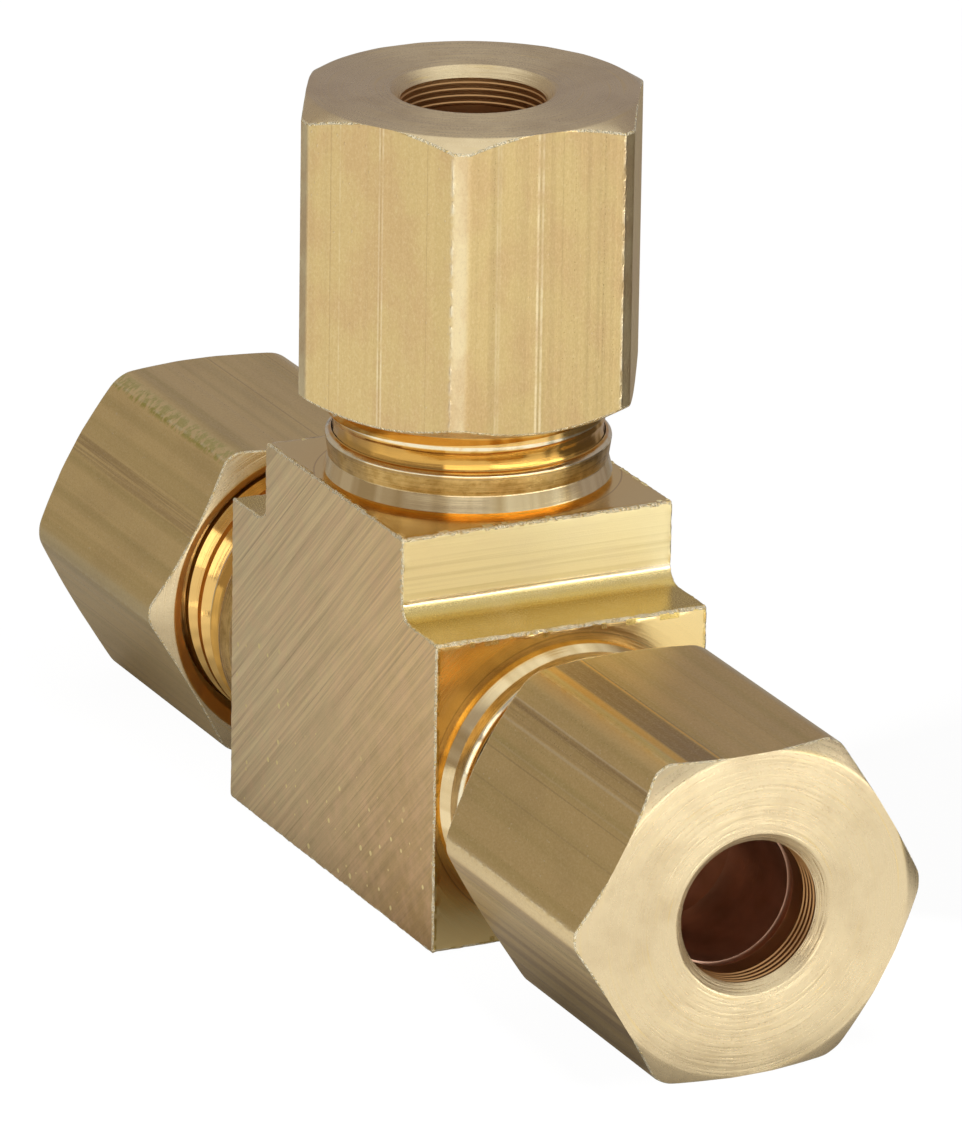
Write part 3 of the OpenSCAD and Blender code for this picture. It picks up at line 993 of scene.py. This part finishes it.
def neck_brass():
    """The ports' faces and necks, cut in a lathe, where each step of the neck took its own shine, with
    painted highlights round the flare and painted orange reflections on the face and in the groove, and the
    nuts' inner lips and threads, painted orange as a reflection of the port's face."""
    g = LatheGraph("neck_brass", THREAD_GOLD, 1)

    def zone(low, high, blur=0.03):
        """1 between two distances from the body's face, and 0 elsewhere."""
        return g.band(g.z, low, high, low - blur, high + blur)

    band_end = BAND_LENGTH - 0.14
    coarse = g.rings(5, 1.2, 2)
    fine = g.rings(16, 2.0, 2)
    grain = g.spread(20, 2, 0.65)
    worn = g.spread(3, 2, 0.6)
    on_face = g.between(g.z, 0.05, 0.02)
    on_nut = g.between(g.z, PLACE_STEP * 0.5, PLACE_STEP * 0.75)
    ring_line = g.times(g.between(g.gap(g.radius, FACE_RING_R), 0.035, 0.015), on_face)
    highlight_streaks = g.noise(g.vector(*(g.times(side, 4) for side in g.around)), 2, 0.6)
    # The face turns orange towards the neck: a painted reflection of the neck.
    g.paint(g.blend(g.between(g.radius, 7.0, 5.3, 0, 0.35), FACE_GOLD, FACE_ORANGE), on_face)
    # The nuts' inner lips and threads are painted bright orange, a painted reflection of the port's face.
    g.paint(LIP_ORANGE, on_nut)
    # Pale streaks round the flare are painted highlights.
    g.paint(g.blend(g.between(highlight_streaks, 0.4, 0.58), FLARE_DULL, FLARE_PALE), zone(0.1, WAIST_AT))
    band = g.blend(g.between(g.plus(worn, fine), 0.8, 1.2), BAND_GOLD, BAND_PALE)
    g.paint(band, zone(WAIST_AT + 0.02, band_end))
    # The groove under the nut is painted a darker orange: painted shade, with light bounced in the hollow.
    g.paint(GROOVE_ORANGE, zone(BAND_LENGTH, CREST_LINE - 0.05))
    g.paint(BROWN, zone(BAND_LENGTH - 0.2, band_end, 0.02), 0.5)
    lines = g.plus(zone(BAND_LENGTH - 0.1, BAND_LENGTH, 0.02), zone(CREST_LINE, CREST_LINE + 0.1, 0.02))
    lines = g.plus(lines, zone(CREST_LINE + 0.32, CREST_LINE + 0.4, 0.02))
    g.paint(BURR, lines, g.between(worn, 0.25, 0.5, 0.5, 1))
    g.paint(BROWN, ring_line, 0.5)
    rough = g.between(g.plus(grain, fine), 0.7, 1.3, 0.13, 0.26)
    rough = g.plus(rough, g.times(zone(WAIST_AT, band_end), 0.12))
    rough = g.plus(rough, g.times(on_nut, 0.2))
    wander = g.noise(g.vector(*g.around), 3, 0.7)
    g.bump(g.times(g.plus(coarse, g.times(fine, 0.6)), g.between(on_face, 0, 1, 1, 0.35)), 0.00001)
    g.bump(g.times(g.between(g.z, FLARE_START - 0.05, WAIST_AT, 0, -0.45), wander), 0.001)
    g.bump(g.times(grain, zone(WAIST_AT, band_end)), 0.00001)
    g.bump(ring_line, 0.00002, -1.0)
    return g.finish(rough, 0.7)


def inside_brass():
    """Bores: dull and reddish, as the drill left them, and browner in the nuts' holes."""
    g = Graph("inside_brass", COPPERY)
    g.paint(DEEP_BROWN, g.between(g.spread(0.8, 2, 0.5), 0.3, 0.7))
    depth = g.math("MODULO", g.parts(g.place())[2], PLACE_STEP)
    # A nut's hole is 8.5 to 10.5 mm from its inner end, and the sleeves' places start at 20.
    g.paint(MOUTH_BROWN, g.band(depth, 8.6, 19, 7.6, 19.5), 0.85)
    g.bump(g.spread((3, 3, 12), 2, 0.5), 0.000006)
    return g.finish(0.4)


def edge_brass():
    """Burred edges: bright and broken, so that they sparkle."""
    g = Graph("edge_brass", BURR)
    chip = g.spread(9, 3, 0.7)
    g.paint(CLEAN, g.between(chip, 0.5, 0.62))
    g.paint(BROWN, g.between(chip, 0.33, 0.3, 0, 0.6))
    g.bump(chip, 0.00012)
    return g.finish(0.2)


def sawn_brass():
    """Sawn faces: matt and brownish, with saw lines across them and bright pits low down."""
    g = Graph("sawn_brass", SAWN_HIGH)
    x, _, height = g.parts(g.place())
    lines = g.spread((0.16, 1, 13), 3, 0.6, SAW_ANGLE)
    wide = g.spread((0.12, 1, 4.0), 2, 0.5, SAW_ANGLE)
    scratch = g.between(g.spread((0.1, 1, 11), 1, 0.5, SAW_ANGLE), 0.64, 0.7)
    mottle = g.spread(1.5, 3, 0.6)
    grain = g.spread(20, 3, 0.7)
    cell = g.node("TexVoronoi", {"Vector": g.vector(x, height), "Scale": 1.2}, voronoi_dimensions="2D")
    reach = g.between(g.parts(cell.outputs["Color"])[0], 0.4, 1.0, 0.02, 0.13)
    pit = g.between(g.math("SUBTRACT", reach, cell.outputs["Distance"]), 0.0, 0.02)
    pit = g.times(pit, g.between(g.plus(height, g.times(x, 0.25)), 6.6, 5.0))
    g.paint(SAWN_LOW, g.between(g.plus(height, g.times(mottle, 3)), 11.5, 1.5))
    g.paint(SAWN_PALE, g.between(x, 6, -8, 0, 0.9))
    g.paint(BROWN, g.between(g.plus(g.times(lines, 0.6), g.times(wide, 0.6)), 0.7, 0.46, 0, 0.42))
    g.paint(BROWN, scratch, 0.42)
    g.paint(SAWN_PINK, g.between(mottle, 0.4, 0.7, 0, 0.25))
    g.paint(PIT, pit, 0.9)
    g.bump(lines, 0.000012)
    g.bump(grain, 0.000012)
    g.bump(pit, 0.00002, -1.0)
    return g.finish(g.between(grain, 0.3, 0.7, 0.42, 0.56), 0.4)


def extruded_brass():
    """Sides of the extruded bar: yellow and satin, with lines along Y, paler above the step than on the
    ledge, which is painted shade, and a painted highlight on the step with a painted shade line under it.
    """
    # The ledge and underside keep a darker gold than the sides: painted shade.
    g = Graph("extruded_brass", LEDGE_GOLD)
    lines = g.spread((5, 0.05, 5), 3, 0.6)
    fine = g.spread((18, 0.4, 18), 2, 0.6)
    grain = g.spread(22, 2, 0.7)
    height = g.parts(g.place())[2]
    top = SHOULDER + STEP_RADIUS
    polish_and_highlight = g.band(height, top - 0.1, top, top - 0.16, top + 0.06)
    # The sides above the step are painted paler than the ledge, which keeps its painted shade.
    g.paint(SIDE_PALE, g.between(height, SHOULDER + 0.15, top))
    # Painted highlight along the top of the step's curve, which is also made less rough there.
    g.paint(BURR, polish_and_highlight)
    # Painted shade line under that highlight.
    g.paint(OLIVE, g.band(height, top - 0.24, top - 0.2, top - 0.3, top - 0.14), 0.5)
    g.paint(OLIVE, g.between(lines, 0.5, 0.8, 0, 0.6))
    g.paint(PALE, g.between(g.spread(0.5, 2, 0.5), 0.5, 0.7, 0, 0.25))
    rough = g.plus(g.between(grain, 0.3, 0.7, 0.0, 0.08), g.between(height, top, top + 0.3, 0.22, 0.4))
    rough = g.math("SUBTRACT", rough, g.times(polish_and_highlight, 0.12))
    g.bump(lines, 0.000008)
    g.bump(fine, 0.000004)
    g.bump(grain, 0.000003)
    return g.finish(rough, 0.85)


MATERIALS = [drawn_brass(), turned_brass(), edge_brass(), sawn_brass(), extruded_brass(), inside_brass(),
             neck_brass()]

# ------------ the object


def make_tee():
    """The body."""
    mesh = tee_mesh()
    mark(mesh, *tee_kinds(mesh), [Matrix.Identity(4), *PORT_FRAMES.values()], 0)
    finish_piece("tee_body_piece", mesh, "tee_body", "tee")


def make_nut(port, offset):
    """A port's nut, with offset for its place."""
    name = f"{port}_nut"
    out, far = span_along_port(name, port)
    mesh = nut_shell(out, TURN_OF_NUT[port], far - out, CORNER_CRISPNESS[port]).mesh(f"{name}_piece")
    kinds = nut_kinds(mesh)
    mark_lands(mesh)
    to_row = nut_place(port)
    mesh.transform(to_row)
    mark(mesh, kinds, np.zeros_like(kinds), [to_row], offset)
    finish_piece(f"{name}_piece", mesh, name, name)


def make_sleeve(port, offset):
    """The sleeve inside a port's nut, with offset for its place."""
    name = f"{port}_sleeve"
    nose, _ = span_along_port(name, port)
    mesh = sleeve_shell().mesh(f"{name}_piece")
    kinds = sleeve_kinds(mesh)
    to_row = PORT_FRAMES[port] @ Matrix.Translation((0, 0, nose))
    mesh.transform(to_row)
    mark(mesh, kinds, np.zeros_like(kinds), [to_row], offset)
    finish_piece(f"{name}_piece", mesh, name, name)


make_tee()
for number, port in enumerate(PORT_FRAMES, start=1):
    make_nut(port, PLACE_STEP * number)
    make_sleeve(port, PLACE_STEP * number + PLACE_STEP // 2)

# ------------ camera, light and floor

VIEW_AZIMUTH = 64.17
VIEW_ELEVATION = 19.28
VIEW_ROLL = 0.88
VIEW_DISTANCE = 0.37209  # in metres
AIM_RIGHT = 0.566  # in millimetres, like the next
AIM_UP = 4.79
LENS = 349.95


def view_axes():
    """The camera's right, up and backward directions."""
    az, el, roll = (math.radians(a) for a in (VIEW_AZIMUTH, VIEW_ELEVATION, VIEW_ROLL))
    back = Vector((math.sin(az) * math.cos(el), -math.cos(az) * math.cos(el), math.sin(el)))
    level = Vector((math.cos(az), math.sin(az), 0))
    upright = back.cross(level)
    right = math.cos(roll) * level + math.sin(roll) * upright
    up = -math.sin(roll) * level + math.cos(roll) * upright
    return right, up, back


def make_camera():
    """A long lens at the viewing angle, aimed just above the point where the ports cross."""
    right, up, back = view_axes()
    data = bpy.data.cameras.new("camera")
    data.lens = LENS
    data.clip_start = 0.01
    camera = bpy.data.objects.new("camera", data)
    aim = (Vector((0, 0, AXIS_Z)) + AIM_RIGHT * right + AIM_UP * up) * MM
    basis = Matrix((right, up, back)).transposed().to_4x4()
    camera.matrix_world = Matrix.Translation(aim + VIEW_DISTANCE * back) @ basis
    bpy.context.scene.collection.objects.link(camera)
    bpy.context.scene.camera = camera


# Directions are in the row frame, and colours over 1 are brighter than white.
FLOOR_HALF = 3.0  # half the floor's width, in metres
FLOOR_COLOUR = (0.5, 0.49, 0.48, 1)
# The floor is painted darker on the object's far side, as painted shade, and beneath it, as a painted
# shadow.
FLOOR_DARK = (0.13, 0.11, 0.09, 1)
TO_DARK_FLOOR = (0.25, 0.97, 0)
# The floor's glow on the object's near side is painted light.
FLOOR_GLOW = 0.6  # how brightly the floor shines on the object's near side
FLOOR_SEEN = 0.86  # how much of what the camera sees of the floor is plain white
FLOOR_WHITE = 1.12
TO_BRIGHT_FLOOR = (0.9, -0.43, 0)
BRIGHT_FLOOR = (-0.02, 0.015)  # how far that way the glow starts and is full, in metres
# How far out the painted shadow beneath the object ends and is full along X and Y, in metres, and how
# far along X it starts and stops growing darker, and how dark it is there.
BENEATH_X = (0.0255, 0.020)
BENEATH_Y = (0.009, 0.005)
BENEATH_DARKNESS = (0.004, 0.014, 0.45, 0.9)
COOL_ROOM = (0.34, 0.307, 0.315, 1)
WARM_ROOM = (0.41, 0.365, 0.33, 1)
TO_WARM_ROOM = (-0.6, -0.8, 0.1)
CEILING = (0.95, 0.95, 0.95, 1)
SIDE_WALL = (0.7, 0.7, 0.7, 1)
TO_SIDE_WALL = (0.9, 0.42, 0.1)
WINDOW = (5.0, 5.0, 5.0, 1)
WINDOW_HEIGHT = 0.05
FRONT_WINDOW = (2.0, 1.9, 1.75, 1)
TO_FRONT_WINDOW = (0.86, -0.47, 0.18)
BACKDROP = (1.0, 1.0, 1.0, 1)


def floor_shades(g):
    """The floor's painted shade on the object's far side, its painted shadow beneath the object, and how
    brightly it glows.
    """
    spot = g.node("NewGeometry").outputs["Position"]
    outwards = g.node("VectorMath", {0: spot}, operation="NORMALIZE").outputs[0]
    x, y, _ = g.parts(spot)
    beneath = g.times(g.between(g.math("ABSOLUTE", x), *BENEATH_X),
                      g.between(g.math("ABSOLUTE", y), *BENEATH_Y),
                      g.between(x, *BENEATH_DARKNESS))
    dark = g.math("MAXIMUM", g.towards(outwards, TO_DARK_FLOOR, 0.8, 0.89), beneath)
    glow = g.between(g.along(spot, TO_BRIGHT_FLOOR), *BRIGHT_FLOOR, 0, FLOOR_GLOW)
    return dark, g.times(glow, g.between(dark, 0, 1, 1, 0.05))


def make_floor():
    """A wide floor that the object rests on. The camera sees it almost white."""
    half = FLOOR_HALF
    mesh = bpy.data.meshes.new("floor")
    corners = [(-half, -half, 0), (half, -half, 0), (half, half, 0), (-half, half, 0)]
    mesh.from_pydata(corners, [], [(0, 1, 2, 3)])
    g = Graph("floor_white", FLOOR_COLOUR)
    dark, glow = floor_shades(g)
    # Painted shade and a painted shadow on the floor.
    g.paint(FLOOR_DARK, dark)
    g.set("Metallic", 0)
    g.set("Specular IOR Level", 0.0)
    g.set("Emission Color", BACKDROP)
    # Painted light: the floor glows on the object's near side.
    g.set("Emission Strength", glow)
    mesh.materials.append(g.finish(0.9))
    seen = g.times(g.node("LightPath").outputs["Is Camera Ray"], FLOOR_SEEN)
    white = g.node("Emission", {"Color": BACKDROP, "Strength": FLOOR_WHITE})
    mixed = g.node("MixShader", {0: seen, 1: g.shader.outputs[0], 2: white.outputs[0]})
    g.feed(g.tree.nodes["Material Output"].inputs["Surface"], mixed.outputs[0])
    link("floor", mesh)


def make_world():
    """A dim room with a pale ceiling, a pale side wall that has a low strip of window, a small window
    near the camera, and a white backdrop for the camera alone."""
    world = bpy.data.worlds.new("studio")
    world.use_nodes = True
    g = Nodes(world.node_tree)
    way = g.node("TexCoord").outputs["Generated"]
    room = g.blend(g.towards(way, TO_WARM_ROOM, 0.3, 0.8), COOL_ROOM, WARM_ROOM)
    light = g.blend(g.towards(way, (0, 0, 1), 0.6, 0.85), room, CEILING)
    light = g.blend(g.towards(way, TO_SIDE_WALL, 0.6, 0.85), light, SIDE_WALL)
    strip = g.between(g.gap(g.parts(way)[2], WINDOW_HEIGHT), 0.1, 0.05)
    light = g.blend(g.times(strip, g.towards(way, TO_SIDE_WALL, 0.7, 0.9)), light, WINDOW)
    light = g.blend(g.towards(way, TO_FRONT_WINDOW, 0.955, 0.975), light, FRONT_WINDOW)
    light = g.blend(g.node("LightPath").outputs["Is Camera Ray"], light, BACKDROP)
    g.feed(g.tree.nodes["Background"].inputs["Color"], light)
    bpy.context.scene.world = world


bpy.context.scene.view_settings.view_transform = "Standard"
make_camera()
make_floor()
make_world()
